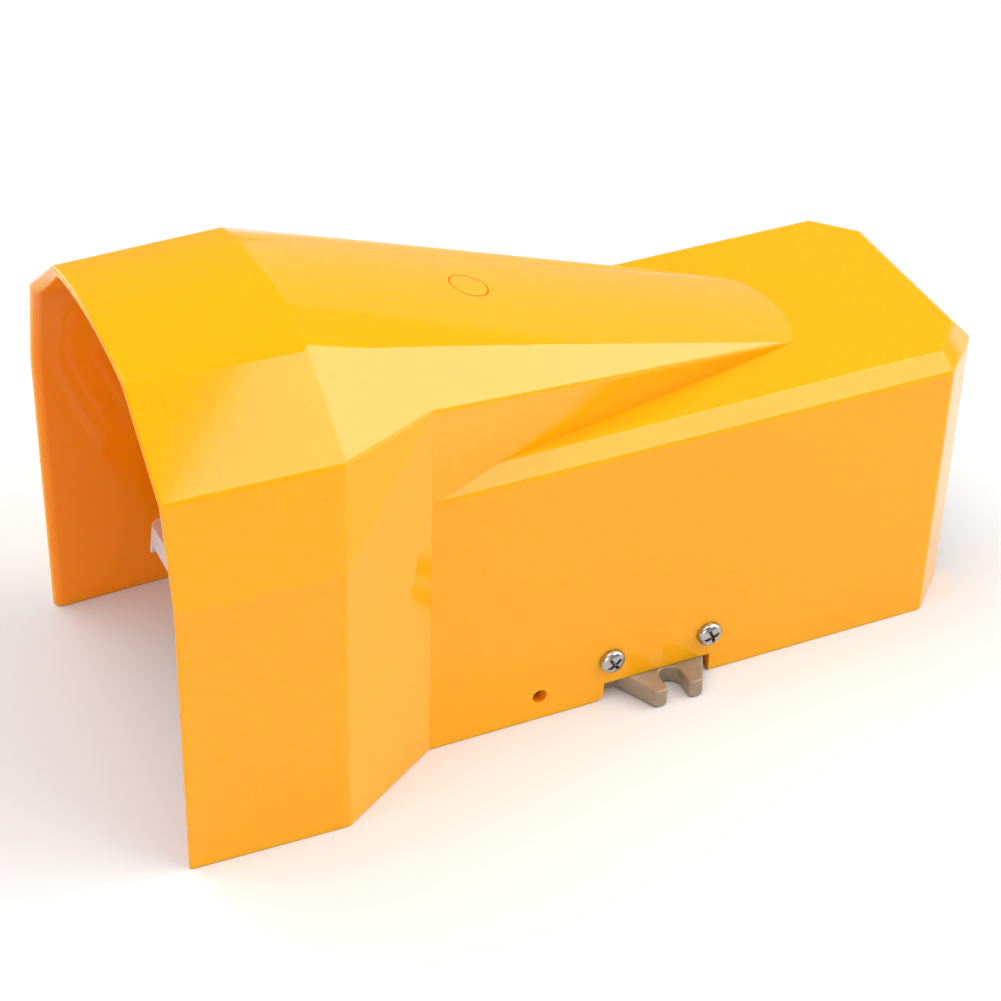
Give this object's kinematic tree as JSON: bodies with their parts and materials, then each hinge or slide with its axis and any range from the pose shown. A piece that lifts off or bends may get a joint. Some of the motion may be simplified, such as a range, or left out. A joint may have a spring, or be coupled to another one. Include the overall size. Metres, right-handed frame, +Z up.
{
  "type": "pneumatic foot valve",
  "caption": "Guarded pneumatic foot valve: a moulded hood over a sprung pedal that lifts the spool of a valve, with threaded ports at the rear and slotted lugs at the sides.",
  "frame": {"origin": "middle of the bounding box's underside, on the floor", "axes": "+X to the user's right, +Y from the foot opening to the ports, +Z up"},
  "size_m": [0.1214, 0.244, 0.1365],
  "materials": {
    "hood_plastic": "glossy",
    "base_metal": "satin",
    "pedal_metal": "cast, satin",
    "valve_metal": "machined, satin",
    "steel": "bright",
    "bronze": "satin",
    "rubber": "matt"
  },
  "bodies": {
    "frame": {"cover": "hood_plastic", "cover_screws": "steel", "base_casting": "base_metal", "pivot_pin": "steel", "pivot_clips": "steel", "pedal_spring": "steel", "stop_buffers": "rubber", "valve_body": "valve_metal", "plunger_bush": "bronze", "plunger_seal": "rubber", "spool_spring": "steel", "top_cap": "valve_metal", "top_gasket": "rubber", "top_cap_screws": "steel", "valve_screws": "steel", "port_block": "valve_metal", "port_gasket": "rubber", "port_block_screws": "steel"},
    "pedal": {"pedal": "pedal_metal", "pivot_bushes": "bronze", "contact_pin": "steel"},
    "spool": {"spool": "steel", "spool_seals": "rubber", "plunger": "steel"}
  },
  "joints": [
    {"name": "pedal_hinge", "type": "hinge", "parent": "frame", "child": "pedal", "pos_m": [0, 0.058, 0.018], "axis": [1, 0, 0], "range_deg": [0, 8], "stiffness_Nm_per_rad": 20, "springref_deg": -5.73, "deforming": ["pedal_spring"]},
    {"name": "plunger_slide", "type": "slide", "parent": "frame", "child": "spool", "axis": [0, 0, 1], "range_m": [0, 0.00547], "stiffness_N_per_m": 800, "springref_m": -0.004, "deforming": ["spool_spring"]}
  ],
  "couplings": [
    {"joint": "plunger_slide", "follows": "pedal_hinge", "m_per_rad": 0.039148}
  ]
}
